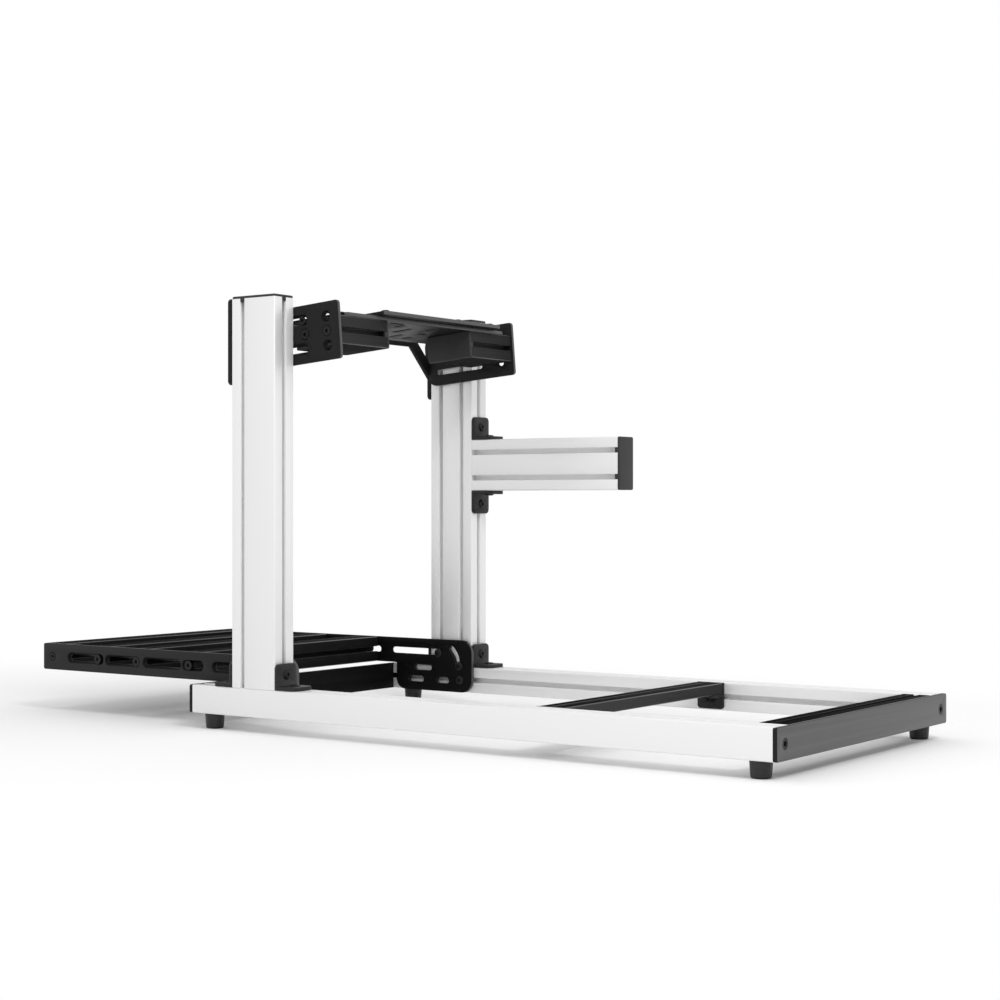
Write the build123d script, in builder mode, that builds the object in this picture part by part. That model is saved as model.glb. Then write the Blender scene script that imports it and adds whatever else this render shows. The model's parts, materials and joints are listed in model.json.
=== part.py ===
"""Sim racing cockpit: a floor frame of slotted aluminium profile that carries a pedal tray,
a tilted wheel deck between two posts, a shifter arm and a seat crossbar.

Millimetres. +X runs from the pedals to the seat, +Y to the driver's right, +Z up from the floor.
The origin is on the floor, in the middle of the whole length and width.
"""

import math
import os

from build123d import *

os.makedirs("parts", exist_ok=True)

# Slotted profile
module = 40.0  # side of one square cell
profile_corner = 1.2
slot_opening = 8.2
slot_lip = 4.5  # metal above the chamber
chamber_width = 20.4
chamber_wall = 2.0  # straight part of the chamber's side
chamber_depth = 12.2  # from the face to the chamber's floor
core_radius = 3.4
web_cavity_width = 14.0  # hollow between two cells of a double profile
web_cavity_height = 30.0
hole_sides = 12  # small holes and slot ends are drawn with flat sides

# Floor frame
overall_width = 500.0
rail_length = 920.0
rail_overhang = 156.0  # rail ahead of the posts' rear faces
end_plate_thickness = 6.0
end_plate_corner = 3.0
foot_height = 22.0
foot_top_radius = 14.0
foot_bottom_radius = 12.5
foot_sides = 32
foot_inset = 25.0  # foot centre from the rail's end
bolt_hole_radius = 3.3
countersink = 3.7  # bevel around the end plates' bolt holes

# Posts
post_height = 544.0
cap_thickness = 3.5
cap_corner = 2.0
cap_edge = 0.9
cap_tab_depth = 5.0
cap_tab_clearance = 0.2

# Corner brackets
bracket_width = 40.0
bracket_leg = 36.0
bracket_thickness = 5.5
bracket_corner = 7.0

# Seat crossbar
seat_bar_centre = 429.5  # behind the posts' rear faces
seat_bar_height = 16.0
seat_chamber_depth = 9.5
seat_bracket_width = 42.0
seat_bracket_drop = 38.0
seat_bracket_foot = 34.0
seat_bracket_thickness = 4.0
seat_bracket_corner = 5.0
seat_bolt_drop = 22.0  # below the rail's top

# Shifter arm
arm_length = 270.0
arm_height = 380.0  # centre line above the floor

# Wheel deck
deck_tilt = 4.6  # degrees, rear edge up
deck_height = 553.0  # centre line at the posts' rear faces
side_plate_length = 170.0
side_plate_height = 81.0
side_plate_front = 87.0  # ahead of the posts' rear faces
side_plate_thickness = 5.0
side_plate_front_corner = 20.0
side_plate_rear_corner = 5.0
side_row_offset = 20.0
side_slot_start = -66.0
side_slot_end = 23.0
plate_slot_width = 8.4
plate_slot_bevel = 4.0
side_hole_place = 60.0
wheel_beam_reach = 108.0  # a beam with its inner cap
deck_plate_front = 46.0  # ahead of the posts' rear faces
deck_plate_side_gap = 15.0
deck_plate_thickness = 5.3
deck_plate_corner = 8.0
mount_plate_overhang = 15.0  # behind the deck plate
mount_plate_left = 121.0
mount_plate_right = 163.0
mount_plate_thickness = 5.3
mount_plate_corner = 9.0
wheel_slot_width = 6.4
# Slots for the wheel base on one half of the deck: place along it, across it, length, turn
wheel_slots = [
    (28.0, 0.0, 37.0, 0),
    (-10.0, 35.0, 23.0, 0),
    (54.0, 38.0, 21.0, 0),
    (-17.0, 69.0, 20.0, 0),
    (20.0, 62.0, 16.0, 90),
    (67.0, 62.0, 33.0, 90),
]

# Front yoke
yoke_thickness = 7.5
yoke_leg_rise = 54.0  # leg's top above the deck's centre line
yoke_leg_height = 121.0
yoke_leg_width = 40.0
yoke_corner = 6.0
yoke_band = 16.0
yoke_band_rise = 14.0  # band's lower edge above the deck's centre line
yoke_flat_half = 161.0
yoke_brace_overlap = 10.0
brace_clearance = 0.5

# Pedal tray
tray_reach = 513.0  # front edge ahead of the posts' rear faces
tray_rear_reach = 5.0
tray_bottom = 64.0
tray_plate_thickness = 6.0
tray_deep_length = 150.0
tray_rear_corner = 20.0
tray_deep_corner = 17.0
tray_front_corner = 3.0
tray_slot_width = 9.6
tray_slot_bevel = 3.6
tray_front_slots = [(57.0, 129.0), (139.0, 206.0), (219.0, 291.0), (300.0, 336.0)]  # behind the front edge
tray_rear_slot = (158.0, 61.0)  # ahead of the rear edge
# Slots in the deep part: both ends ahead of the rear edge, height above the lower edge
tray_deep_slots = [(113.0, 79.0, 36.5), (125.0, 95.0, 17.5), (69.0, 45.0, 17.5)]
swing_slot_radius = 38.0
swing_slot_angle = 48.0
swing_pivot_reach = 65.0  # ahead of the rear edge
swing_pivot_height = 40.0
tray_beam_places = {"front": 20.0, "second": 119.0, "third": 201.5, "rear": 309.0}  # behind the front edge

# Worked out from the sizes above
rear_reach = rail_length - rail_overhang + end_plate_thickness
post_rear = (tray_reach - rear_reach) / 2  # the posts' rear faces
rail_front = post_rear - rail_overhang
rail_rear = rail_front + rail_length
rail_y = (overall_width - module) / 2  # centre lines of rails and posts
inner_face = rail_y - module / 2
rail_z = foot_height + module / 2
rail_top = foot_height + module
post_x = post_rear - module  # middle of a post's long side
post_front = post_rear - 2 * module
post_top = rail_top + post_height
tilt = math.radians(deck_tilt)
beam_outer = inner_face - side_plate_thickness
FACE_TURNS = {"+x": 0, "+y": 90, "-x": 180, "-y": 270}
SIDES = {"left": -1, "right": 1}


def section_across_x(x, y, z):
    """Plane square to X at a point, its own x axis along Y and its y axis up."""
    return Plane(origin=(x, y, z), x_dir=(0, 1, 0), z_dir=(1, 0, 0))


def section_across_y(x, y, z):
    """Plane square to Y at a point, its own x axis along X, its y axis up, its normal towards -Y."""
    return Plane(origin=(x, y, z), x_dir=(1, 0, 0), z_dir=(0, -1, 0))


def finish(piece, name):
    """Name a finished piece and write its file."""
    piece.part.label = name
    export_step(piece.part, f"parts/{name}.step")


def slot_outline(length, width):
    """Long hole, its round ends drawn with flat sides."""
    centre = (length - width) / 2
    with BuildSketch(mode=Mode.PRIVATE) as outline:
        Rectangle(length - width, width)
        with Locations((-centre, 0), (centre, 0)):
            RegularPolygon(width / 2, hole_sides, major_radius=False, rotation=180 / hole_sides)
    return outline.sketch


def slot_place(cell, face, cells, reach_x, reach_y):
    """Place on a face of one cell, turned so that its own y axis points out of the profile."""
    turn = math.radians(FACE_TURNS[face])
    centre = (cell - (cells - 1) / 2) * module
    place = (centre + reach_x * math.cos(turn), reach_y * math.sin(turn))
    return Location(place, FACE_TURNS[face] - 90)


def profile_section(cells, open_slots, height=module, floor=chamber_depth, chambers=None):
    """Section of a slotted profile, its cells in a row along x.

    open_slots holds (cell, direction) pairs; every other slot keeps its skin over the chamber.
    """
    half = chamber_width / 2
    taper = floor - slot_lip - chamber_wall
    chamber = [
        (-half, -slot_lip),
        (half, -slot_lip),
        (half, -slot_lip - chamber_wall),
        (half - taper, -floor),
        (taper - half, -floor),
        (-half, -slot_lip - chamber_wall),
    ]
    all_slots = [(0, "-x"), (cells - 1, "+x")]
    all_slots += [(cell, face) for cell in range(cells) for face in ("+y", "-y")]
    with BuildSketch(mode=Mode.PRIVATE) as section:
        Rectangle(cells * module, height)
        chamfer(section.vertices(), profile_corner)
        for cell, face in chambers or all_slots:
            with Locations(slot_place(cell, face, cells, module / 2, height / 2)):
                Polygon(*chamber, align=None, mode=Mode.SUBTRACT)
                if (cell, face) in open_slots:
                    Rectangle(slot_opening, 3 * slot_lip, mode=Mode.SUBTRACT)
        if height == module:
            with GridLocations(module, 0, cells, 1):
                RegularPolygon(core_radius, hole_sides, major_radius=False, mode=Mode.SUBTRACT)
            if cells == 2:
                Rectangle(web_cavity_width, web_cavity_height, mode=Mode.SUBTRACT)
    return section.sketch


def end_cap(plane, open_slots, outward=1):
    """Moulded cap on the end of a double profile, with a tab in the mouth of each open slot."""
    with BuildPart() as cap:
        with BuildSketch(plane) as outline:
            Rectangle(2 * module, module)
            chamfer(outline.vertices(), cap_corner)
        extrude(amount=outward * cap_thickness)
        face = cap.faces().sort_by(Axis(plane.origin, plane.z_dir * outward))[-1]
        chamfer(face.edges(), cap_edge)
        with BuildSketch(plane):
            reach = module / 2 - slot_lip / 2
            for cell, side in open_slots:
                with Locations(slot_place(cell, side, 2, reach, reach)):
                    Rectangle(slot_opening - 2 * cap_tab_clearance, slot_lip)
        extrude(amount=-outward * cap_tab_depth)
    return cap


def corner_bracket(corner, along, up):
    """Angle bracket: one leg lies along `along` from the corner, the other along `up`."""
    across = Vector(*along).cross(Vector(*up))
    side = Plane(origin=Vector(*corner) - across * (bracket_width / 2), x_dir=along, z_dir=across)
    with BuildPart() as bracket:
        with BuildSketch(side):
            Rectangle(bracket_leg, bracket_thickness, align=(Align.MIN, Align.MIN))
            Rectangle(bracket_thickness, bracket_leg, align=(Align.MIN, Align.MIN))
        extrude(amount=bracket_width)
        for direction in (along, up):
            tip = bracket.faces().sort_by(Axis(corner, direction))[-1]
            fillet(tip.edges().sort_by(SortBy.LENGTH)[:2], bracket_corner)
        hole_place = (bracket_leg + bracket_thickness) / 2
        for leg, normal in ((along, up), (up, along)):
            centre = Vector(*corner) + Vector(*leg) * hole_place
            with BuildSketch(Plane(origin=centre, x_dir=across, z_dir=normal)):
                RegularPolygon(bolt_hole_radius, hole_sides, major_radius=False)
            extrude(amount=bracket_thickness, mode=Mode.SUBTRACT)
    return bracket


def deck_point(along, up=0.0):
    """Point on the tilted deck, from its centre line at the posts' rear faces."""
    x = post_rear + along * math.cos(tilt) - up * math.sin(tilt)
    z = deck_height + along * math.sin(tilt) + up * math.cos(tilt)
    return x, z


def deck_side_plane(y):
    """Upright plane at y, its x axis along the deck and its normal towards the driver's left."""
    return Plane(
        origin=(post_rear, y, deck_height), x_dir=(math.cos(tilt), 0, math.sin(tilt)), z_dir=(0, -1, 0)
    )


def deck_top_plane(up):
    """Plane parallel to the deck, its x axis along it, at a height above the deck's centre line."""
    x, z = deck_point(0, up)
    along = (math.cos(tilt), 0, math.sin(tilt))
    return Plane(origin=(x, 0, z), x_dir=along, z_dir=(-math.sin(tilt), 0, math.cos(tilt)))


# Base rails: smooth outside, slots on top, inside and below
for side, sign in SIDES.items():
    inward = "+x" if sign < 0 else "-x"
    with BuildPart() as base_rail:
        with BuildSketch(section_across_x(rail_front, sign * rail_y, rail_z)):
            add(profile_section(1, [(0, inward), (0, "+y"), (0, "-y")]))
        extrude(amount=rail_length)
    finish(base_rail, f"{side}_base_rail")

# Tapered rubber feet under the rail ends, drafted inwards from their tops
foot_taper = math.degrees(math.atan((foot_top_radius - foot_bottom_radius) / foot_height))
for end, foot_x in {"front": rail_front + foot_inset, "rear": rail_rear - foot_inset}.items():
    for side, sign in SIDES.items():
        foot_top = Plane((foot_x, sign * rail_y, foot_height))
        with BuildPart() as foot:
            with BuildSketch(foot_top):
                RegularPolygon(foot_top_radius, foot_sides)
            extrude(amount=-foot_height)
            draft(foot.faces().sort_by(Axis.Z)[1:-1], neutral_plane=foot_top, angle=-foot_taper)
        finish(foot, f"foot_{end}_{side}")

# End plates across both rail ends, bolted into the rails' cores
for end, plate_x in {"front": rail_front - end_plate_thickness, "rear": rail_rear}.items():
    with BuildPart() as cross_plate:
        with BuildSketch(section_across_x(plate_x, 0, rail_z)):
            RectangleRounded(overall_width, module, end_plate_corner)
            with Locations((-rail_y, 0), (rail_y, 0)):
                RegularPolygon(bolt_hole_radius, hole_sides, major_radius=False, mode=Mode.SUBTRACT)
        extrude(amount=end_plate_thickness)
        outer = cross_plate.faces().sort_by(Axis.X)[0 if end == "front" else -1]
        chamfer(outer.inner_wires().edges(), countersink)
    finish(cross_plate, f"{end}_cross_plate")

# Rear cross beam between the rails
with BuildPart() as rear_cross_beam:
    with BuildSketch(section_across_y(rail_rear - module / 2, inner_face, rail_z)):
        add(profile_section(1, [(0, "-x"), (0, "+y"), (0, "-y")]))
    extrude(amount=2 * inner_face)
finish(rear_cross_beam, "rear_cross_beam")

# Seat crossbar and its end brackets
seat_x = post_rear + seat_bar_centre
seat_half = inner_face - seat_bracket_thickness
with BuildPart() as seat_crossbar:
    with BuildSketch(section_across_y(seat_x, seat_half, rail_top - seat_bar_height / 2)):
        add(profile_section(1, [(0, "+y")], seat_bar_height, seat_chamber_depth, [(0, "+y")]))
    extrude(amount=2 * seat_half)
finish(seat_crossbar, "seat_crossbar")

for side, sign in SIDES.items():
    with BuildPart() as seat_bracket:
        with BuildSketch(section_across_x(seat_x - seat_bracket_width / 2, 0, 0)):
            wall_middle = sign * (inner_face - seat_bracket_thickness / 2)
            foot_middle = sign * (inner_face - seat_bracket_foot / 2)
            with Locations((wall_middle, rail_top - seat_bracket_drop / 2)):
                Rectangle(seat_bracket_thickness, seat_bracket_drop)
            with Locations((foot_middle, rail_top - seat_bar_height - seat_bracket_thickness / 2)):
                Rectangle(seat_bracket_foot, seat_bracket_thickness)
        extrude(amount=seat_bracket_width)
        fillet(
            seat_bracket.faces().sort_by(Axis.Z)[0].edges().filter_by(Axis.Y)
            + seat_bracket.faces().sort_by(Axis.Y)[0 if sign > 0 else -1].edges().filter_by(Axis.Z),
            seat_bracket_corner,
        )
        with BuildSketch(section_across_y(seat_x, sign * inner_face, rail_top - seat_bolt_drop)):
            RegularPolygon(bolt_hole_radius, hole_sides, major_radius=False)
        extrude(amount=seat_bracket_thickness, both=True, mode=Mode.SUBTRACT)
    finish(seat_bracket, f"seat_bracket_{side}")

# Posts: two slots inside, one in front, one behind and one on the outside near the front
for side, sign in SIDES.items():
    inward, outward = ("+y", "-y") if sign < 0 else ("-y", "+y")
    open_slots = [(0, inward), (1, inward), (0, "-x"), (1, "+x"), (0, outward)]
    with BuildPart() as post:
        with BuildSketch(Plane((post_x, sign * rail_y, rail_top))):
            add(profile_section(2, open_slots))
        extrude(amount=post_height)
    finish(post, f"{side}_post")

    cap_plane = Plane((post_x, sign * rail_y, post_top))
    finish(end_cap(cap_plane, open_slots), f"{side}_post_cap")

    front_bracket = corner_bracket((post_front, sign * rail_y, rail_top), (-1, 0, 0), (0, 0, 1))
    finish(front_bracket, f"{side}_post_bracket_front")
    rear_bracket = corner_bracket((post_rear, sign * rail_y, rail_top), (1, 0, 0), (0, 0, 1))
    finish(rear_bracket, f"{side}_post_bracket_rear")

# Shifter arm on the right post, its capped end towards the seat
arm_open_slots = [(0, "-x"), (1, "+x"), (0, "+y"), (1, "+y"), (0, "-y"), (1, "-y")]
arm_plane = Plane(origin=(post_rear, rail_y, arm_height), x_dir=(0, 0, 1), z_dir=(1, 0, 0))
with BuildPart() as shifter_arm:
    with BuildSketch(arm_plane):
        add(profile_section(2, arm_open_slots))
    extrude(amount=arm_length)
finish(shifter_arm, "shifter_arm")
finish(end_cap(arm_plane.offset(arm_length), arm_open_slots), "shifter_arm_cap")

upper_bracket = corner_bracket((post_rear, rail_y, arm_height + module), (1, 0, 0), (0, 0, 1))
finish(upper_bracket, "shifter_bracket_upper")
lower_bracket = corner_bracket((post_rear, rail_y, arm_height - module), (1, 0, 0), (0, 0, -1))
finish(lower_bracket, "shifter_bracket_lower")

# Wheel deck: slotted side plates inside the posts, each notched over the front yoke's brace
side_slot_middle = (side_slot_start + side_slot_end) / 2
side_holes = [(module / 2, 0), (module * 1.5, 0)]  # the wheel beams' bolts
side_holes += [(side_hole_place, -side_row_offset), (side_hole_place, side_row_offset)]
yoke_lower_edge = deck_height + yoke_band_rise
leg_inner = overall_width / 2 - yoke_leg_width
brace_foot = yoke_lower_edge - (leg_inner - yoke_flat_half)
brace_height = yoke_band * math.sqrt(2)
brace_top = brace_foot + leg_inner - beam_outer + brace_height
notch_corner = (post_front + brace_clearance, brace_top + brace_clearance)
for side, sign in SIDES.items():
    plate_face = inner_face if sign > 0 else -beam_outer
    with BuildPart() as side_plate:
        with BuildSketch(deck_side_plane(plate_face)) as outline:
            with Locations((side_plate_length / 2 - side_plate_front, 0)):
                Rectangle(side_plate_length, side_plate_height)
            fillet(outline.vertices().group_by(Axis.X)[0], side_plate_front_corner)
            fillet(outline.vertices().group_by(Axis.X)[-1], side_plate_rear_corner)
            for row in (-side_row_offset, side_row_offset):
                with Locations((side_slot_middle, row)):
                    add(slot_outline(side_slot_end - side_slot_start, plate_slot_width), mode=Mode.SUBTRACT)
            with Locations(side_holes):
                RegularPolygon(plate_slot_width / 2, hole_sides, major_radius=False, mode=Mode.SUBTRACT)
        extrude(amount=side_plate_thickness)
        outer = side_plate.faces().sort_by(Axis.Y)[-1 if sign > 0 else 0]
        chamfer(outer.inner_wires().edges(), plate_slot_bevel)
        with BuildSketch(section_across_y(0, plate_face, 0)):
            with Locations(notch_corner):
                Rectangle(side_plate_front, side_plate_height, align=(Align.MAX, Align.MAX))
        extrude(amount=side_plate_thickness, mode=Mode.SUBTRACT)
    finish(side_plate, f"wheel_side_plate_{side}")

# A short double profile on each side plate, capped at its inner end
beam_open_slots = [(1, "+x"), (0, "+y"), (1, "+y")]
wheel_beam_length = wheel_beam_reach - cap_thickness
beam_inner = beam_outer - wheel_beam_length
for side, sign in SIDES.items():
    with BuildPart() as wheel_beam:
        with BuildSketch(deck_side_plane(beam_outer if sign > 0 else -beam_inner)):
            with Locations((module, 0)):
                add(profile_section(2, beam_open_slots))
        extrude(amount=wheel_beam_length)
    finish(wheel_beam, f"wheel_beam_{side}")

    cap_x, cap_z = deck_point(module)
    cap_plane = Plane((cap_x, sign * beam_inner, cap_z), deck_side_plane(0).x_dir, z_dir=(0, -1, 0))
    finish(end_cap(cap_plane, beam_open_slots, outward=sign), f"wheel_beam_cap_{side}")

# Two slotted plates on the beams: the wide deck plate, and the wheel's mount plate on top of it
with BuildSketch(mode=Mode.PRIVATE) as slot_pattern:
    for along, across, length, turn in wheel_slots:
        with Locations(Location((along, across), turn)):
            add(slot_outline(length, wheel_slot_width))
    mirror(about=Plane.XZ)

deck_plate_rear = 2 * module  # flush with the beams
deck_plate_width = 2 * (beam_outer - deck_plate_side_gap)
with BuildPart() as deck_plate:
    with BuildSketch(deck_top_plane(module / 2)):
        with Locations(((deck_plate_rear - deck_plate_front) / 2, 0)):
            RectangleRounded(deck_plate_rear + deck_plate_front, deck_plate_width, deck_plate_corner)
        add(slot_pattern.sketch, mode=Mode.SUBTRACT)
    extrude(amount=deck_plate_thickness)
finish(deck_plate, "wheel_deck_plate")

mount_plate_length = deck_plate_front + deck_plate_rear + mount_plate_overhang
mount_plate_middle = (deck_plate_rear + mount_plate_overhang - deck_plate_front) / 2
with BuildPart() as mount_plate:
    with BuildSketch(deck_top_plane(module / 2 + deck_plate_thickness)):
        with Locations((mount_plate_middle, (mount_plate_right - mount_plate_left) / 2)):
            RectangleRounded(mount_plate_length, mount_plate_left + mount_plate_right, mount_plate_corner)
        add(slot_pattern.sketch, mode=Mode.SUBTRACT)
    extrude(amount=mount_plate_thickness)
finish(mount_plate, "wheel_mount_plate")

# Front yoke: a leg on the front face of each post, joined by a band with a diagonal brace at each end
with BuildPart() as front_yoke:
    with BuildSketch(section_across_x(post_front - yoke_thickness, 0, 0)):
        brace_end = leg_inner + yoke_brace_overlap
        with BuildLine():
            Polyline(
                (0, yoke_lower_edge),
                (yoke_flat_half, yoke_lower_edge),
                (brace_end, brace_foot - yoke_brace_overlap),
                (brace_end, brace_foot - yoke_brace_overlap + brace_height),
                (yoke_flat_half + yoke_band * math.tan(math.pi / 8), yoke_lower_edge + yoke_band),
                (0, yoke_lower_edge + yoke_band),
                close=True,
            )
        make_face()
        leg_middle = deck_height + yoke_leg_rise - yoke_leg_height / 2
        with Locations((leg_inner + yoke_leg_width / 2, leg_middle)):
            RectangleRounded(yoke_leg_width, yoke_leg_height, yoke_corner)
        mirror(about=Plane.YZ)
    extrude(amount=yoke_thickness)
finish(front_yoke, "wheel_front_yoke")

# Pedal tray: two deep-ended side plates against the rails, four slotted beams between them
tray_top = tray_bottom + module
tray_z = tray_bottom + module / 2
tray_front = post_rear - tray_reach
tray_rear = post_rear + tray_rear_reach
deep_front = tray_rear - tray_deep_length
arm_slots = [(tray_front + start, tray_front + end) for start, end in tray_front_slots]
arm_slots.append((tray_rear - tray_rear_slot[0], tray_rear - tray_rear_slot[1]))
swing_pivot = (tray_rear - swing_pivot_reach, foot_height + swing_pivot_height)
for side, sign in SIDES.items():
    plate_plane = section_across_y(0, inner_face if sign > 0 else tray_plate_thickness - inner_face, 0)
    with BuildPart() as tray_plate:
        with BuildSketch(plate_plane) as outline:
            with BuildLine():
                Polyline(
                    (tray_front, tray_bottom),
                    (tray_front, tray_top),
                    (tray_rear, tray_top),
                    (tray_rear, foot_height),
                    (deep_front, foot_height),
                    (deep_front, tray_bottom),
                    close=True,
                )
            make_face()
            fillet(outline.vertices().group_by(Axis.X)[0], tray_front_corner)
            fillet(outline.vertices().group_by(Axis.X)[-1], tray_rear_corner)
            fillet(outline.vertices().sort_by_distance((deep_front, foot_height))[0], tray_deep_corner)
            with Locations((tray_front + tray_beam_places["front"], tray_z)):
                RegularPolygon(bolt_hole_radius, hole_sides, major_radius=False, mode=Mode.SUBTRACT)
            for start, end in arm_slots:
                with Locations(((start + end) / 2, tray_z)):
                    add(slot_outline(end - start, tray_slot_width), mode=Mode.SUBTRACT)
        extrude(amount=tray_plate_thickness)
        outer = tray_plate.faces().filter_by(Axis.Y).sort_by(Axis.Y)[-1 if sign > 0 else 0]
        chamfer(outer.inner_wires().edges(), tray_slot_bevel)
        with BuildSketch(plate_plane):
            for front, rear, height in tray_deep_slots:
                with Locations((tray_rear - (front + rear) / 2, foot_height + height)):
                    add(slot_outline(front - rear, tray_slot_width))
            with BuildLine(mode=Mode.PRIVATE) as swing:
                CenterArc(swing_pivot, swing_slot_radius, 0, swing_slot_angle)
            SlotArc(swing.edges()[0], tray_slot_width)
        extrude(amount=tray_plate_thickness, mode=Mode.SUBTRACT)
    finish(tray_plate, f"pedal_side_plate_{side}")

tray_half = inner_face - tray_plate_thickness
for name, place in tray_beam_places.items():
    with BuildPart() as tray_beam:
        with BuildSketch(section_across_y(tray_front + place, tray_half, tray_z)):
            add(profile_section(1, [(0, "+y"), (0, "+x"), (0, "-x")]))
        extrude(amount=2 * tray_half)
    finish(tray_beam, f"pedal_beam_{name}")
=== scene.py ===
"""Looks of the sim racing cockpit: rounded edges, bolts, rubber feet, metal finishes, light, camera."""

import json
import math

import bmesh
import bpy
from mathutils import Matrix, Vector


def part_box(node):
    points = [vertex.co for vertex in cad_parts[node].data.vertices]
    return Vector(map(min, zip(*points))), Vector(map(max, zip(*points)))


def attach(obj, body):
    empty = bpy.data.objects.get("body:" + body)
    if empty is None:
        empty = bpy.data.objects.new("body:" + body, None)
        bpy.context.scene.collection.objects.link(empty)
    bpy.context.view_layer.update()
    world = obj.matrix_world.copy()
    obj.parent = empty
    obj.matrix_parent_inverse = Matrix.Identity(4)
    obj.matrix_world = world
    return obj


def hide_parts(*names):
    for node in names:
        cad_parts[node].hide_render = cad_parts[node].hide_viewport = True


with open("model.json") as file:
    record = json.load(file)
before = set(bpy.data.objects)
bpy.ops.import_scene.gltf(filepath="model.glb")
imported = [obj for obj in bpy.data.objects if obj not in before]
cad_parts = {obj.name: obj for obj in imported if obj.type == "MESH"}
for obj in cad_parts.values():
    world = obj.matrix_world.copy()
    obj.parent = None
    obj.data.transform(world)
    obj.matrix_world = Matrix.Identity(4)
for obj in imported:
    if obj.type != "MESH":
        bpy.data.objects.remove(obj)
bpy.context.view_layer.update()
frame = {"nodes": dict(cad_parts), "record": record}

MM = 0.001

# Camera, found from the straight edges of the photograph
IMAGE_SIZE = 1000
FOCAL_PIXELS = 1922.55
SENSOR_WIDTH = 36.0
CAMERA_PLACE = (1.655, -2.2327, 0.3192)
CAMERA_TURN = math.radians(35.28)
HORIZON_ROW = 503.9


def make_camera():
    data = bpy.data.cameras.new("camera")
    data.sensor_width = SENSOR_WIDTH
    data.lens = SENSOR_WIDTH * FOCAL_PIXELS / IMAGE_SIZE
    data.shift_y = (HORIZON_ROW - IMAGE_SIZE / 2) / IMAGE_SIZE
    camera = bpy.data.objects.new("camera", data)
    camera.location = CAMERA_PLACE
    camera.rotation_euler = (math.pi / 2, 0, CAMERA_TURN)
    bpy.context.scene.collection.objects.link(camera)
    bpy.context.scene.camera = camera


make_camera()


class Value:
    """A node's output that can stand in a Python expression."""

    def __init__(self, graph, socket):
        self.graph = graph
        self.socket = socket

    def _math(self, operation, first, second=0.0):
        return self.graph.node("ShaderNodeMath", {"operation": operation}, {0: first, 1: second})

    def __add__(self, other):
        return self._math("ADD", self, other)

    def __radd__(self, other):
        return self._math("ADD", other, self)

    def __sub__(self, other):
        return self._math("SUBTRACT", self, other)

    def __rsub__(self, other):
        return self._math("SUBTRACT", other, self)

    def __mul__(self, other):
        return self._math("MULTIPLY", self, other)

    def __rmul__(self, other):
        return self._math("MULTIPLY", other, self)

    def __or__(self, other):
        return self._math("MAXIMUM", self, other)


class Graph:
    """The nodes of a material or of the world."""

    def __init__(self, tree):
        self.tree = tree

    def feed(self, socket, value):
        if isinstance(value, Value):
            self.tree.links.new(value.socket, socket)
        else:
            socket.default_value = value

    def node(self, kind, settings=None, inputs=None, output=0):
        """Add a node: its settings first, then the values or links of its sockets."""
        made = self.tree.nodes.new(kind)
        for name, value in (settings or {}).items():
            setattr(made, name, value)
        for name, value in (inputs or {}).items():
            self.feed(made.inputs[name], value)
        return Value(self, made.outputs[output])


class Finish(Graph):
    """A material under construction."""

    def __init__(self, name):
        self.material = bpy.data.materials.new(name)
        self.material.use_nodes = True
        super().__init__(self.material.node_tree)
        self.surface = self.tree.nodes["Principled BSDF"]
        self.place = self.node("ShaderNodeTexCoord", output="Object")

    def stretched(self, scale):
        """The place on the object, stretched by a scale for each axis."""
        return self.node(
            "ShaderNodeVectorMath", {"operation": "MULTIPLY"}, {0: self.place, 1: scale}
        )

    def noise(self, scale, detail=2.0, roughness=0.5, place=None):
        """Noise from 0 to 1, its scale in grains per metre."""
        return self.node(
            "ShaderNodeTexNoise",
            None,
            {"Vector": place or self.place, "Scale": scale, "Detail": detail, "Roughness": roughness},
        )

    def mix(self, amount, first, second):
        """Blend two colours by an amount."""
        return self.node(
            "ShaderNodeMix", {"data_type": "RGBA"}, {0: amount, 6: first, 7: second}, output=2
        )

    def bump(self, height, distance, strength=1.0):
        return self.node(
            "ShaderNodeBump", None, {"Height": height, "Distance": distance, "Strength": strength}
        )

    def set(self, **sockets):
        """Set or link sockets of the surface shader, a space in a name written as an underscore."""
        for name, value in sockets.items():
            self.feed(self.surface.inputs[name.replace("_", " ")], value)


def grey(value, warmth=0.0):
    """A near-neutral colour, a little warmer or cooler."""
    return (value * (1 + warmth), value, value * (1 - warmth), 1.0)


# Grains per metre of each finish; those of a drawn profile run across it and along it
DIE_LINES = (2600.0, 5.0)
DIE_BANDS = (340.0, 1.5)
METAL_CLOUDS = 14.0
COAT_PEEL = 1500.0
COAT_SPECKLE = 5200.0
COAT_CLOUDS = 22.0
MOULD_CLOUDS = 30.0
STEEL_CLOUDS = 260.0
FLOOR_DUST = 60.0


def along_axis(axis, across, lengthwise):
    """Scales that draw noise out into streaks along an axis."""
    scales = [across, across, across]
    scales[axis] = lengthwise
    return tuple(scales)


def drawn_aluminium(name, axis, shade, dark_shade, metal, roughness, sheen, rim=1.0):
    """Anodised extrusion with faint die lines along it; rim is how bright it is at grazing sight."""
    finish = Finish(name)
    line_place = finish.stretched(along_axis(axis, *DIE_LINES))
    fine = finish.noise(1.0, detail=3.0, roughness=0.6, place=line_place)
    band_place = finish.stretched(along_axis(axis, *DIE_BANDS))
    wide = finish.noise(1.0, place=band_place)
    clouds = finish.noise(METAL_CLOUDS, detail=3.0)
    streak = fine * 0.45 + wide * 0.35 + clouds * 0.2
    finish.set(
        Base_Color=finish.mix(streak, dark_shade, shade),
        Metallic=metal,
        Specular_IOR_Level=sheen,
        Specular_Tint=grey(rim),
        Roughness=roughness + streak * 0.16 - 0.08,
        Normal=finish.bump(fine, distance=0.02 * MM, strength=0.35),
    )
    return finish.material


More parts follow.
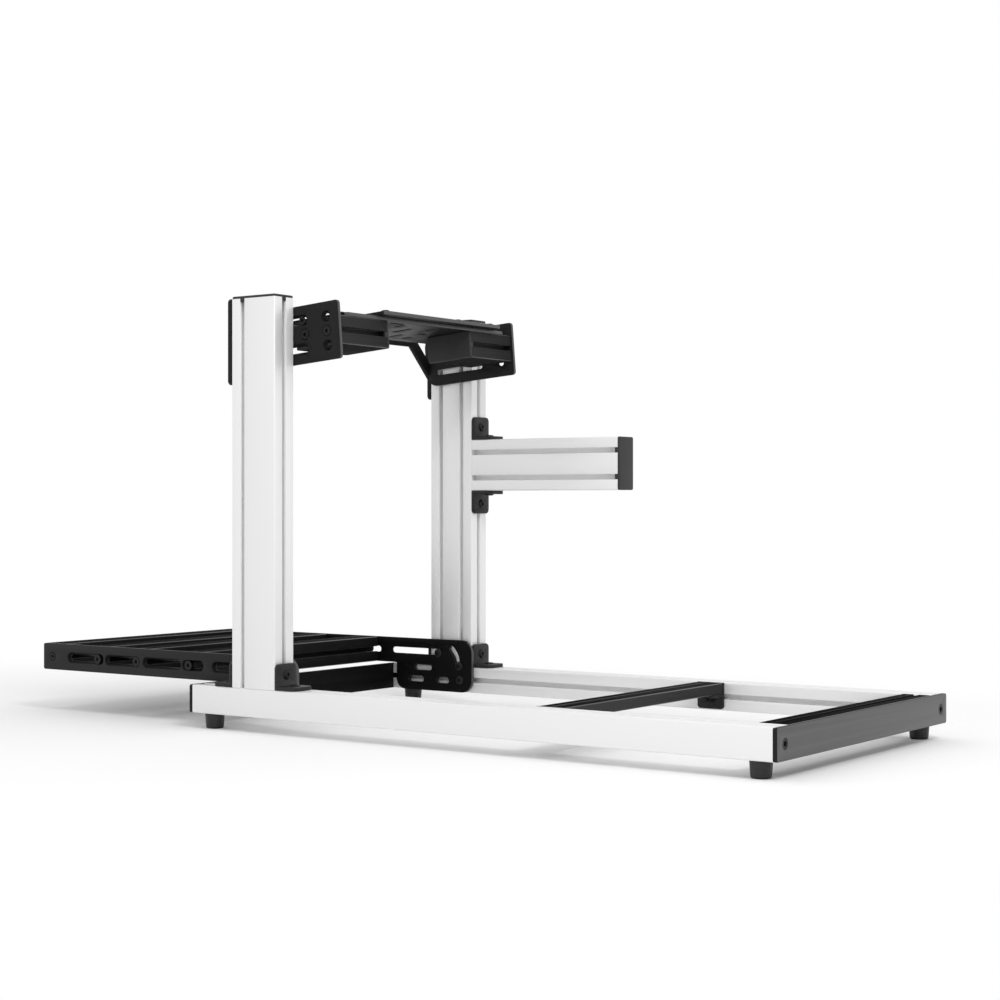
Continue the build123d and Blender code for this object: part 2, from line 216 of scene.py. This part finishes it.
def powder_coat(name, shade, roughness, sheen):
    """Black powder coat: fine orange peel and a slightly uneven sheen."""
    finish = Finish(name)
    peel = finish.noise(COAT_PEEL, roughness=0.45)
    speckle = finish.noise(COAT_SPECKLE, detail=1.0)
    clouds = finish.noise(COAT_CLOUDS, detail=3.0)
    finish.set(
        Base_Color=finish.mix(clouds, grey(shade * 0.93), grey(shade * 1.07)),
        Specular_IOR_Level=sheen,
        Roughness=roughness + clouds * 0.05 + speckle * 0.08 - 0.065,
        Normal=finish.bump(peel * 0.7 + speckle * 0.3, distance=0.06 * MM, strength=0.5),
    )
    return finish.material


def moulded(name, shade, roughness, grain, sheen):
    """Moulded plastic or rubber with a fine spark grain."""
    finish = Finish(name)
    spark = finish.noise(grain, roughness=0.6)
    clouds = finish.noise(MOULD_CLOUDS)
    finish.set(
        Base_Color=finish.mix(clouds, grey(shade * 0.85), grey(shade * 1.2)),
        Specular_IOR_Level=sheen,
        Roughness=roughness + spark * 0.12 - 0.06,
        Normal=finish.bump(spark, distance=0.08 * MM, strength=0.5),
    )
    return finish.material


def black_steel(name):
    """Blackened bolt steel, its dull finish a little uneven."""
    finish = Finish(name)
    clouds = finish.noise(STEEL_CLOUDS, detail=3.0, roughness=0.6)
    finish.set(
        Base_Color=finish.mix(clouds, grey(0.004), grey(0.014, 0.03)),
        Metallic=0.0,
        Specular_IOR_Level=0.2,
        Roughness=0.34 + clouds * 0.14,
        Normal=finish.bump(clouds, distance=0.03 * MM, strength=0.4),
    )
    return finish.material


X, Y, Z = range(3)
AXIS_NAMES = ("x", "y", "z")

def for_each_axis(name, **metal):
    """The same metal three times, its die lines along x, y or z."""
    return [
        drawn_aluminium(f"{name}_along_{AXIS_NAMES[axis]}", axis, **metal) for axis in (X, Y, Z)
    ]


silver = for_each_axis(
    "silver", shade=grey(0.86), dark_shade=grey(0.82), metal=0.3, roughness=0.42, sheen=0.5
)
# Paler copy of the silver for the slots' inner walls: painted light against the shade in the slots.
slot_painted_light = for_each_axis(
    "slot_painted_light", shade=grey(0.98), dark_shade=grey(0.96), metal=0.0, roughness=0.55, sheen=0.5
)
SATIN_BLACK = {"metal": 0.45, "roughness": 0.42, "sheen": 0.0, "rim": 0.0}
black = for_each_axis("black", shade=grey(0.026), dark_shade=grey(0.014), **SATIN_BLACK)
# Lighter copy of the black profile for the wheel beams: painted light.
deck_bar_painted_light = drawn_aluminium("deck_bar_painted_light", Y, grey(0.05), grey(0.032), **SATIN_BLACK)
# Lighter copy of the black profile for the seat crossbar's sides: painted light.
seat_bar_painted_light = drawn_aluminium("seat_bar_painted_light", Y, grey(0.075), grey(0.055), **SATIN_BLACK)

# Paler coat for the black profiles' broken edges: painted highlight.
edge_painted_highlight = powder_coat("edge_painted_highlight", shade=0.085, roughness=0.4, sheen=0.35)
plate_coat = powder_coat("plate_coat", shade=0.012, roughness=0.5, sheen=0.13)
# Lighter copy of the plate coat for the pedal tray's side plates: painted light.
tray_plate_painted_light = powder_coat("tray_plate_painted_light", shade=0.021, roughness=0.5, sheen=0.14)
# Darker copy of the plate coat for faces turned inward: painted shade.
inner_painted_shade = powder_coat("inner_painted_shade", shade=0.004, roughness=0.5, sheen=0.07)
# Paler copy of the plate coat for the plates' cut ends: painted highlight.
end_painted_highlight = powder_coat("end_painted_highlight", shade=0.06, roughness=0.42, sheen=0.5)
# Darker coat for the bevels around the side plates' slots: painted shade.
bevel_painted_shade = powder_coat("bevel_painted_shade", shade=0.002, roughness=0.3, sheen=0.1)
# Lighter copy of the plate coat for the end plates' outer faces: painted light.
end_plate_painted_light = powder_coat("end_plate_painted_light", shade=0.07, roughness=0.42, sheen=0.5)
bracket_coat = powder_coat("bracket_coat", shade=0.012, roughness=0.46, sheen=0.3)
cap_plastic = moulded("cap_plastic", shade=0.026, roughness=0.55, grain=2400.0, sheen=0.35)
foot_rubber = moulded("foot_rubber", shade=0.01, roughness=0.46, grain=3600.0, sheen=0.45)
bolt_steel = black_steel("bolt_steel")


def long_axis(node):
    low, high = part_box(node)
    sides = [high[axis] - low[axis] for axis in (X, Y, Z)]
    return sides.index(max(sides))


def finish_of(node, slot):
    """The material of a node: its own, or that of its slot in the record."""
    # The end plates, the tray's side plates, the seat crossbar and the wheel beams take lighter copies
    # of their coat: painted light.
    own = {
        "front_cross_plate": end_plate_painted_light,
        "rear_cross_plate": end_plate_painted_light,
        "pedal_side_plate_left": tray_plate_painted_light,
        "pedal_side_plate_right": tray_plate_painted_light,
        "seat_crossbar": seat_bar_painted_light,
        "wheel_beam_left": deck_bar_painted_light,
        "wheel_beam_right": deck_bar_painted_light,
    }
    if node in own:
        return own[node]
    return {
        "silver_profile": silver[long_axis(node)],
        "black_profile": black[long_axis(node)],
        "black_plate": plate_coat,
        "bracket": bracket_coat,
        "end_cap": cap_plastic,
        "rubber_foot": foot_rubber,
    }[slot]


def link_piece(name, mesh, material):
    """Put a finished mesh in the scene, riding on the frame."""
    mesh.name = name
    mesh.materials.clear()
    mesh.materials.append(material)
    piece = bpy.data.objects.new(name, mesh)
    bpy.context.scene.collection.objects.link(piece)
    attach(piece, "root")
    return piece


# How far the edges of each kind of piece are rounded
EDGE_ROUNDING = {
    "silver_profile": 0.35 * MM,
    "black_profile": 0.35 * MM,
    "black_plate": 0.6 * MM,
    "bracket": 0.8 * MM,
    "end_cap": 0.7 * MM,
}
SAME_POINT = 0.002 * MM
FLAT_ANGLE = math.radians(1.0)
ROUNDED_ANGLE = math.radians(34.0)


def smooth(mesh):
    """Smooth shading that stops at the sharp edges."""
    mesh.shade_smooth()
    mesh.set_sharp_from_angle(angle=ROUNDED_ANGLE)


def round_edges(node, slot):
    """Replace a node by itself with its edges broken, as a press, a saw or a mould leaves them."""
    source = frame["nodes"][node]
    mesh = source.data.copy()
    work = bmesh.new()
    work.from_mesh(mesh)
    work.transform(source.matrix_world)
    bmesh.ops.remove_doubles(work, verts=work.verts, dist=SAME_POINT)
    bmesh.ops.dissolve_limit(work, angle_limit=FLAT_ANGLE, verts=work.verts, edges=work.edges)
    work.to_mesh(mesh)
    work.free()
    piece = link_piece(f"{node}_body", mesh, finish_of(node, slot))
    edge = piece.modifiers.new("edge", "BEVEL")
    edge.width = EDGE_ROUNDING[slot]
    edge.segments = 2
    edge.limit_method = "ANGLE"
    edge.angle_limit = ROUNDED_ANGLE
    edge.use_clamp_overlap = True
    evaluated = piece.evaluated_get(bpy.context.evaluated_depsgraph_get())
    rounded = bpy.data.meshes.new_from_object(evaluated)
    piece.modifiers.clear()
    piece.data = rounded
    rounded.name = f"{node}_body"
    smooth(rounded)
    add_second_finishes(rounded, node, slot)
    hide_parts(node)


SLOT_MOUTH = 1.0 * MM  # how deep the outer finish reaches into a slot
BEVEL_DEPTH = 1.2 * MM  # the middle of a slot's bevel lies deeper than this
END_HIGHLIGHT_REACH = 12.0 * MM  # how far the painted highlight reaches from a plate's cut ends

# Cosines between a face's normal and a direction
STRAIGHT = 0.95
ALONG = 0.7
PARTLY = 0.5
SLANTED = 0.3


def repaint(mesh, material, chosen):
    """Give a material to the faces that a test picks."""
    mesh.materials.append(material)
    added = len(mesh.materials) - 1
    for face in mesh.polygons:
        if chosen(face):
            face.material_index = added


def depth_in(box, face, axes):
    """How far a face's middle lies under the sides of a box that are across the given axes."""
    low, high = box
    return min(min(face.center[axis] - low[axis], high[axis] - face.center[axis]) for axis in axes)


def brighten_slots(mesh, box, axis):
    """The walls inside a profile's slots take a paler, non-metal copy of the silver: painted light that
    lifts the shade inside the slots.
    """
    across = [side for side in (X, Y, Z) if side != axis]
    repaint(
        mesh,
        slot_painted_light[axis],
        lambda face: depth_in(box, face, across) > SLOT_MOUTH and abs(face.normal[axis]) < PARTLY,
    )


def darken_bevels(mesh, box):
    """The bevels around the slots of an upright plate are darkened: painted shade in the slots."""
    repaint(
        mesh,
        bevel_painted_shade,
        lambda face: depth_in(box, face, [Y]) > BEVEL_DEPTH and SLANTED < abs(face.normal.y) < STRAIGHT,
    )


def paint_end_highlights(mesh, box):
    """A plate's cut ends have a paler coat: a painted highlight."""
    repaint(
        mesh,
        end_painted_highlight,
        lambda face: depth_in(box, face, [X]) < END_HIGHLIGHT_REACH and abs(face.normal.x) > PARTLY,
    )


def paint_edge_highlights(mesh):
    """A black profile's broken edges are paler: a painted highlight along them."""
    repaint(mesh, edge_painted_highlight, lambda face: max(abs(part) for part in face.normal) < STRAIGHT)


def add_second_finishes(mesh, node, slot):
    """Slots, bevels, backs, edges and cut ends, each in its own finish: painted light, shade and
    highlights.
    """
    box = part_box(node)
    if slot == "silver_profile":
        brighten_slots(mesh, box, long_axis(node))
    if node.startswith(("wheel_side_plate", "pedal_side_plate")):
        darken_bevels(mesh, box)
    if slot == "black_profile":
        paint_edge_highlights(mesh)
    # The seat crossbar's top face keeps the plain black, darker than its painted-light sides.
    if node == "seat_crossbar":
        repaint(mesh, black[Y], lambda face: face.normal.z >= STRAIGHT)
    elif node.endswith("cross_plate"):
        # End plates: painted light on the outer face, the plain coat on the edges, painted shade on the
        # inner face.
        out = -1 if node.startswith("front") else 1
        repaint(mesh, plate_coat, lambda face: face.normal.x * out < ALONG)
        repaint(mesh, inner_painted_shade, lambda face: face.normal.x * -out >= ALONG)
    elif node.startswith("pedal_side_plate"):
        # Painted shade on the tray plate's inward face, painted highlight on its cut ends.
        inward = 1 if node.endswith("left") else -1
        repaint(mesh, inner_painted_shade, lambda face: face.normal.y * inward >= ALONG)
        paint_end_highlights(mesh, box)
    elif slot == "black_plate" and node != "wheel_front_yoke":
        paint_end_highlights(mesh, box)


def ring(work, place, radius, height, sides, hexagon=False):
    """Ring of points around a bolt's or foot's axis; a hexagon ring has the flats of a hex key."""
    points = []
    for step in range(sides):
        turn = math.tau * step / sides
        reach = radius
        if hexagon:
            reach = radius / math.cos((turn % (math.pi / 3)) - math.pi / 6)
        spot = Vector((reach * math.cos(turn), reach * math.sin(turn), height))
        points.append(work.verts.new(place @ spot))
    return points


def lathe(work, place, rings, sides=24):
    """Closed turned shape from (radius, height, hexagon) rings, its last ring filled."""
    rows = [ring(work, place, radius, height, sides, hexagon) for radius, height, hexagon in rings]
    for lower, upper in zip(rows, rows[1:]):
        for step in range(sides):
            after = (step + 1) % sides
            work.faces.new((lower[step], lower[after], upper[after], upper[step]))
    work.faces.new(rows[-1])
    work.faces.new(list(reversed(rows[0])))


def button_bolt(work, place, radius=7.0 * MM, height=2.2 * MM, shank=6.0 * MM):
    """Domed bolt with a hex socket, its shank behind the face that it sits on."""
    lathe(work, place, [
        (0.42 * radius, -shank, False),
        (0.42 * radius, 0.0, False),
        (0.96 * radius, 0.0, False),
        (radius, 0.12 * height, False),
        (0.97 * radius, 0.35 * height, False),
        (0.86 * radius, 0.68 * height, False),
        (0.70 * radius, 0.92 * height, False),
        (0.56 * radius, height, False),
        (0.37 * radius, height, True),
        (0.36 * radius, 0.25 * height, True),
    ])


HEAD_RISE = 0.4 * MM  # a flush bolt's head over its own place


def flush_bolt(work, place, radius=6.3 * MM, shank=6.0 * MM):
    """Countersunk bolt, its flat head level with the face around it."""
    lathe(work, place, [
        (0.45 * radius, -shank, False),
        (0.45 * radius, -0.5 * radius, False),
        (0.98 * radius, -0.1 * MM, False),
        (0.97 * radius, 0.25 * MM, False),
        (0.90 * radius, 0.35 * MM, False),
        (0.40 * radius, 0.35 * MM, False),
        (0.34 * radius, 0.2 * MM, True),
        (0.33 * radius, -2.4 * MM, True),
    ])


def cap_bolt(work, place, radius=6.5 * MM, height=6.0 * MM, shank=6.0 * MM):
    """Cylinder-head bolt on a washer."""
    washer = 1.6 * MM
    lathe(work, place, [
        (0.5 * radius, -shank, False),
        (0.5 * radius, 0.0, False),
        (1.3 * radius, 0.0, False),
        (1.34 * radius, 0.3 * washer, False),
        (1.3 * radius, washer, False),
        (radius, washer, False),
        (radius, washer + 0.85 * height, False),
        (0.9 * radius, washer + height, False),
        (0.55 * radius, washer + height, False),
        (0.46 * radius, washer + 0.95 * height, True),
        (0.45 * radius, washer + 0.4 * height, True),
    ])


def facing(place, out):
    """Frame at a place with its z axis pointing out."""
    turn = Vector(out).normalized().to_track_quat("Z", "Y").to_matrix().to_4x4()
    return Matrix.Translation(place) @ turn


def turned_mesh(name, work):
    """Mesh from turned shapes, their faces looking outward."""
    bmesh.ops.recalc_face_normals(work, faces=work.faces)
    mesh = bpy.data.meshes.new(name)
    work.to_mesh(mesh)
    work.free()
    smooth(mesh)
    return mesh


def bolt_group(name, bolts):
    """One piece from a list of (make, place, out, sizes)."""
    work = bmesh.new()
    for make, place, out, sizes in bolts:
        make(work, facing(place, out), **sizes)
    link_piece(name, turned_mesh(name, work), bolt_steel)


slots = {part["node"]: part["material_slot"] for part in frame["record"]["subparts"]}
for node, slot in slots.items():
    if slot != "rubber_foot":
        round_edges(node, slot)

# Places on the frame that the bolts follow
SIDES = {"left": -1, "right": 1}
rail_low, rail_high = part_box("right_base_rail")
rail_y = (rail_low[Y] + rail_high[Y]) / 2
rail_z = (rail_low[Z] + rail_high[Z]) / 2
inner_face = rail_low[Y]
profile_width = rail_high[Y] - rail_low[Y]

BRACKET_WALL = 5.5 * MM


def bracket_bolts():
    """A bolt in each leg of the corner brackets on the posts and the shifter arm."""
    bolts = []
    names = [f"{side}_post_bracket_{end}" for side in SIDES for end in ("front", "rear")]
    for name in names + ["shifter_bracket_upper", "shifter_bracket_lower"]:
        low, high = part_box(name)
        ahead = -1 if "front" in name else 1
        upward = -1 if "lower" in name else 1
        root_x = high[X] if ahead < 0 else low[X]
        root_z = high[Z] if upward < 0 else low[Z]
        reach = (high[X] - low[X] + BRACKET_WALL) / 2
        middle = (low[Y] + high[Y]) / 2
        on_upright = (root_x + ahead * BRACKET_WALL, middle, root_z + upward * reach)
        on_foot = (root_x + ahead * reach, middle, root_z + upward * BRACKET_WALL)
        bolts.append((button_bolt, on_upright, (ahead, 0, 0), {}))
        bolts.append((button_bolt, on_foot, (0, 0, upward), {}))
    return bolts


END_PLATE_HEAD = 9.4 * MM


def end_plate_bolts():
    """Flush bolts through the end plates into the rails."""
    bolts = []
    for node, ahead in (("front_cross_plate", -1), ("rear_cross_plate", 1)):
        low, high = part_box(node)
        face = low[X] if ahead < 0 else high[X]
        for side in SIDES.values():
            place = (face - ahead * HEAD_RISE, side * rail_y, rail_z)
            bolts.append((flush_bolt, place, (ahead, 0, 0), {"radius": END_PLATE_HEAD}))
    return bolts


# The wheel deck leans back; its places are measured from the posts' rear faces at this height
DECK_TILT = math.radians(4.6)
DECK_HEIGHT = 0.553
post_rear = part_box("right_post")[1][X]
deck_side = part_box("wheel_side_plate_right")[1][Y]
deck_up = (-math.sin(DECK_TILT), 0, math.cos(DECK_TILT))


def deck_place(along, across, up):
    """A place on the tilted deck: behind the posts, right of the middle and over the deck's line."""
    x = post_rear + along * math.cos(DECK_TILT) - up * math.sin(DECK_TILT)
    z = DECK_HEIGHT + along * math.sin(DECK_TILT) + up * math.cos(DECK_TILT)
    return (x, across, z)


DECK_PLATE_TOP = 25.3 * MM
MOUNT_PLATE_TOP = 30.6 * MM
BEAM_BOLT_CELLS = (0.5, 1.5)  # in widths of the profile, from the posts back
SIDE_PLATE_HEAD = 7.2 * MM
SUNK_BOLT = {"radius": 6.0 * MM, "shank": 3.0 * MM}
SUNK_BOLT_ALONG = 15.7 * MM
SUNK_BOLT_UP = 20.0 * MM
SUNK_BOLT_DEPTH = 2.0 * MM
BEAM_BOLT_ACROSS = 178.0 * MM
TALL_HEAD = {"height": 3.2 * MM}


def deck_bolts():
    """Bolts of the side plates, the beams and the deck plate."""
    bolts = []
    for side in SIDES.values():
        for cells in BEAM_BOLT_CELLS:
            place = deck_place(cells * profile_width, side * (deck_side - HEAD_RISE), 0)
            bolts.append((flush_bolt, place, (0, side, 0), {"radius": SIDE_PLATE_HEAD}))
        place = deck_place(SUNK_BOLT_ALONG, side * (deck_side - SUNK_BOLT_DEPTH), SUNK_BOLT_UP)
        bolts.append((flush_bolt, place, (0, side, 0), SUNK_BOLT))
        for cells in BEAM_BOLT_CELLS:
            place = deck_place(cells * profile_width, side * BEAM_BOLT_ACROSS, DECK_PLATE_TOP)
            bolts.append((button_bolt, place, deck_up, TALL_HEAD))
    return bolts


# Places of the mount plate's bolts on the deck: along it and across it
MOUNT_FRONT = -30.0 * MM
MOUNT_REAR = 82.0 * MM
MOUNT_BOLTS = (
    (MOUNT_FRONT, -105.0 * MM),
    (MOUNT_REAR, -105.0 * MM),
    (MOUNT_FRONT, 147.0 * MM),
    (MOUNT_REAR, 147.0 * MM),
    (MOUNT_REAR, 66.0 * MM),
    (MOUNT_REAR, 106.0 * MM),
)


def mount_plate_bolts():
    """Bolts that clamp the mount plate to the deck plate."""
    return [
        (button_bolt, deck_place(along, across, MOUNT_PLATE_TOP), deck_up, TALL_HEAD)
        for along, across in MOUNT_BOLTS
    ]


YOKE_BOLT_HEIGHTS = (0.2, 0.8)  # shares of a leg's height


def yoke_bolts():
    """Two bolts in each leg of the front yoke."""
    low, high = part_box("wheel_front_yoke")
    bolts = []
    for side in SIDES.values():
        for share in YOKE_BOLT_HEIGHTS:
            place = (low[X], side * rail_y, low[Z] + share * (high[Z] - low[Z]))
            bolts.append((button_bolt, place, (-1, 0, 0), {}))
    return bolts


SEAT_BRACKET_WALL = 4.0 * MM
SEAT_RAIL_BOLT = {"radius": 5.0 * MM, "height": 5.0 * MM}
SEAT_RAIL_BOLT_DROP = 22.5 * MM  # from the bracket's top down to its bolt
SEAT_BAR_BOLT = {"height": 2.6 * MM, "radius": 5.0 * MM}
SEAT_BAR_BOLT_REACH = 9.0 * MM  # from the tip of the bracket's foot to its bolt
SEAT_BAR_DEPTH = 16.0 * MM


def seat_bolts():
    """Bolts from the seat crossbar's brackets into the rails' inner slots, and up into the bar."""
    bolts = []
    for name, side in SIDES.items():
        low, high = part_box(f"seat_bracket_{name}")
        middle = (low[X] + high[X]) / 2
        in_rail = (middle, side * (inner_face - SEAT_BRACKET_WALL), high[Z] - SEAT_RAIL_BOLT_DROP)
        bolts.append((cap_bolt, in_rail, (0, -side, 0), SEAT_RAIL_BOLT))
        foot_tip = low[Y] if side > 0 else high[Y]
        under = high[Z] - SEAT_BAR_DEPTH - SEAT_BRACKET_WALL
        in_bar = (middle, foot_tip + side * SEAT_BAR_BOLT_REACH, under)
        bolts.append((button_bolt, in_bar, (0, 0, -1), SEAT_BAR_BOLT))
    return bolts


# Head radii of the bolts in the tray's beams
BEAM_HEADS = {"front": 6.0 * MM, "second": 7.3 * MM, "third": 7.3 * MM, "rear": 7.3 * MM}
# Places of the bolts that fix the tray: before its rear end and over the floor
TRAY_FIXINGS = ((66.0 * MM, 82.0 * MM), (25.0 * MM, 63.0 * MM), (23.5 * MM, 41.0 * MM))


def tray_bolts():
    """Flush bolts into the ends of the tray's beams, and the bolts that fix the tray to the frame."""
    bolts = []
    low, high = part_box("pedal_side_plate_right")
    for name, radius in BEAM_HEADS.items():
        beam_low, beam_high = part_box(f"pedal_beam_{name}")
        x = (beam_low[X] + beam_high[X]) / 2
        z = (beam_low[Z] + beam_high[Z]) / 2
        for side in SIDES.values():
            place = (x, side * (high[Y] - HEAD_RISE), z)
            bolts.append((flush_bolt, place, (0, side, 0), {"radius": radius}))
    for ahead, height in TRAY_FIXINGS:
        for side in SIDES.values():
            place = (high[X] - ahead, side * low[Y], height)
            bolts.append((button_bolt, place, (0, -side, 0), {}))
    return bolts


bolt_group("bracket_bolts", bracket_bolts())
bolt_group("end_plate_bolts", end_plate_bolts())
bolt_group("deck_bolts", deck_bolts())
bolt_group("mount_plate_bolts", mount_plate_bolts())
bolt_group("yoke_bolts", yoke_bolts())
bolt_group("seat_bracket_bolts", seat_bolts())
bolt_group("pedal_tray_bolts", tray_bolts())


FOOT_DRAFT = 1.5 * MM
FOOT_SIDES = 64
SCREW_DEPTH = 8.8 * MM
FOOT_SCREW = {"radius": 5.0 * MM, "shank": 0.1 * MM}


def foot_middle(node):
    """The middle of a foot, seen from above."""
    low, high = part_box(node)
    return (low[X] + high[X]) / 2, (low[Y] + high[Y]) / 2


def rubber_foot(node):
    """Turned rubber foot with a rounded lower rim and a recess below for its screw."""
    low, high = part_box(node)
    top = high[Z]
    upper = (high[X] - low[X]) / 2
    lower = upper - FOOT_DRAFT
    work = bmesh.new()
    lathe(work, Matrix.Translation((*foot_middle(node), 0)), [
        (upper - 1.2 * MM, top, False),
        (upper, top - 0.8 * MM, False),
        (upper - 0.1 * MM, top - 2.4 * MM, False),
        (lower + 0.2 * MM, 3.0 * MM, False),
        (lower - 0.2 * MM, 1.4 * MM, False),
        (lower - 0.9 * MM, 0.4 * MM, False),
        (lower - 2.0 * MM, 0.0, False),
        (7.0 * MM, 0.0, False),
        (6.4 * MM, 0.5 * MM, False),
        (6.2 * MM, 9.0 * MM, False),
    ], sides=FOOT_SIDES)
    piece = link_piece(f"{node}_rubber", turned_mesh(node, work), foot_rubber)
    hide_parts(node)


foot_nodes = [node for node, slot in slots.items() if slot == "rubber_foot"]
for node in foot_nodes:
    rubber_foot(node)


def foot_screws():
    """Screw head up inside each foot's recess."""
    return [
        (button_bolt, (*foot_middle(node), SCREW_DEPTH), (0, 0, -1), FOOT_SCREW)
        for node in foot_nodes
    ]


bolt_group("foot_screws", foot_screws())

# Pale floor that keeps the cockpit's shadow and turns plain white farther out
FLOOR_HALF = 30.0
FLOOR_SHADE = 0.97
DUST_SHADE = 0.004
FLOOR_OVAL = (0.6, 1.0, 1.0)  # the fade's outline, longer along the cockpit
FADE_START = 0.5
FADE_END = 1.0
DOME_LEVEL = 0.84  # how much light the studio's walls give the object


def looked_at(graph):
    """1 for what the camera sees, straight on, in a reflection or through something clear."""
    seen, mirrored, through = [
        graph.node("ShaderNodeLightPath", output=f"Is {kind} Ray")
        for kind in ("Camera", "Glossy", "Transmission")
    ]
    return seen | mirrored | through


def make_floor():
    mesh = bpy.data.meshes.new("floor")
    corners = [
        (-FLOOR_HALF, -FLOOR_HALF, 0),
        (FLOOR_HALF, -FLOOR_HALF, 0),
        (FLOOR_HALF, FLOOR_HALF, 0),
        (-FLOOR_HALF, FLOOR_HALF, 0),
    ]
    mesh.from_pydata(corners, [], [(0, 1, 2, 3)])
    finish = Finish("floor_paper")
    dust = finish.noise(FLOOR_DUST)
    finish.set(
        Base_Color=finish.mix(dust, grey(FLOOR_SHADE - DUST_SHADE), grey(FLOOR_SHADE + DUST_SHADE)),
        Roughness=0.9,
        Specular_IOR_Level=0.0,
    )
    oval = finish.stretched(FLOOR_OVAL)
    distance = finish.node("ShaderNodeVectorMath", {"operation": "LENGTH"}, {0: oval}, output=1)
    far = finish.node(
        "ShaderNodeMapRange",
        {"interpolation_type": "SMOOTHSTEP"},
        {"Value": distance, "From Min": FADE_START, "From Max": FADE_END},
    )
    white = finish.node("ShaderNodeEmission", None, {"Color": grey(1.0), "Strength": 1.0})
    paper = Value(finish, finish.surface.outputs[0])
    shown = finish.node("ShaderNodeMixShader", None, {0: far * looked_at(finish), 1: paper, 2: white})
    finish.feed(finish.tree.nodes["Material Output"].inputs["Surface"], shown)
    mesh.materials.append(finish.material)
    floor = bpy.data.objects.new("floor", mesh)
    bpy.context.scene.collection.objects.link(floor)


def make_world():
    """Even white studio, plain white to the camera and in reflections."""
    world = bpy.data.worlds.new("studio")
    bpy.context.scene.world = world
    world.use_nodes = True
    studio = Graph(world.node_tree)
    background = studio.tree.nodes["Background"]
    studio.feed(background.inputs["Color"], grey(1.0))
    studio.feed(background.inputs["Strength"], looked_at(studio) * (1.0 - DOME_LEVEL) + DOME_LEVEL)


# Soft lights: where they stand, what they look at, how wide they are and their watts
KEY_LIGHT = ((2.4, -1.2, 2.75), (0, 0, 0.2), 0.7, 30.0)
FILL_LIGHT = ((0.8, -2.8, 1.8), (0, 0, 0.3), 2.0, 5.0)


def soft_light(name, place, target, size, power):
    data = bpy.data.lights.new(name, "AREA")
    data.shape = "DISK"
    data.size = size
    data.energy = power
    light = bpy.data.objects.new(name, data)
    light.location = place
    light.rotation_euler = (Vector(place) - Vector(target)).to_track_quat("Z", "Y").to_euler()
    bpy.context.scene.collection.objects.link(light)


make_floor()
make_world()
soft_light("key", *KEY_LIGHT)
soft_light("fill", *FILL_LIGHT)

bpy.context.scene.view_settings.view_transform = "Standard"
